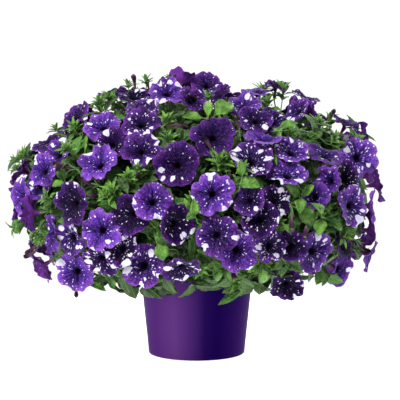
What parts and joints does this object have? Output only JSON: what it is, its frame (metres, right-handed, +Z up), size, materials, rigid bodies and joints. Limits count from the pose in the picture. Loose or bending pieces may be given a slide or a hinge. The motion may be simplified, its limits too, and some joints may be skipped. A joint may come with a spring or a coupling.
{
  "type": "potted petunia",
  "caption": "Petunia in full bloom: a broad mound of violet trumpet flowers and green leaves, standing in a tapered plastic pot filled with potting mix.",
  "frame": {"origin": "the middle of the pot's underside, on the plane it stands on", "axes": "+Z up, the pot's axis; -Y is the side that the picture shows, +X to its right"},
  "size_m": [0.5599, 0.5676, 0.4234],
  "materials": {
    "pot_plastic": "smooth satin-gloss violet plastic",
    "potting_mix": "damp crumbly potting mix",
    "leaf": "soft hairy green leaf",
    "petal": "velvety violet petal with pale speckles and a near-black throat"
  },
  "bodies": {
    "root": {"pot": "pot_plastic", "potting_mix": "potting_mix", "leafy_stem_01": "leaf", "leafy_stem_02": "leaf", "leafy_stem_03": "leaf", "leafy_stem_04": "leaf", "leafy_stem_05": "leaf", "leafy_stem_06": "leaf", "leafy_stem_07": "leaf", "leafy_stem_08": "leaf", "leafy_stem_09": "leaf", "leafy_stem_10": "leaf", "leafy_stem_11": "leaf", "leafy_stem_12": "leaf", "bloom_spray_01": "petal", "bloom_spray_02": "petal", "bloom_spray_03": "petal", "bloom_spray_04": "petal", "bloom_spray_05": "petal", "bloom_spray_06": "petal", "bloom_spray_07": "petal", "bloom_spray_08": "petal", "bloom_spray_09": "petal", "bloom_spray_10": "petal", "bloom_spray_11": "petal", "bloom_spray_12": "petal", "bloom_spray_13": "petal", "bloom_spray_14": "petal", "bloom_spray_15": "petal", "bloom_spray_16": "petal", "bloom_spray_17": "petal", "bloom_spray_18": "petal", "bloom_spray_19": "petal", "bloom_spray_20": "petal", "bloom_spray_21": "petal", "bloom_spray_22": "petal", "bloom_spray_23": "petal", "bloom_spray_24": "petal", "bloom_spray_25": "petal", "bloom_spray_26": "petal", "bloom_spray_27": "petal", "bloom_spray_28": "petal", "bloom_spray_29": "petal", "bloom_spray_30": "petal", "bloom_spray_31": "petal"}
  },
  "joints": []
}
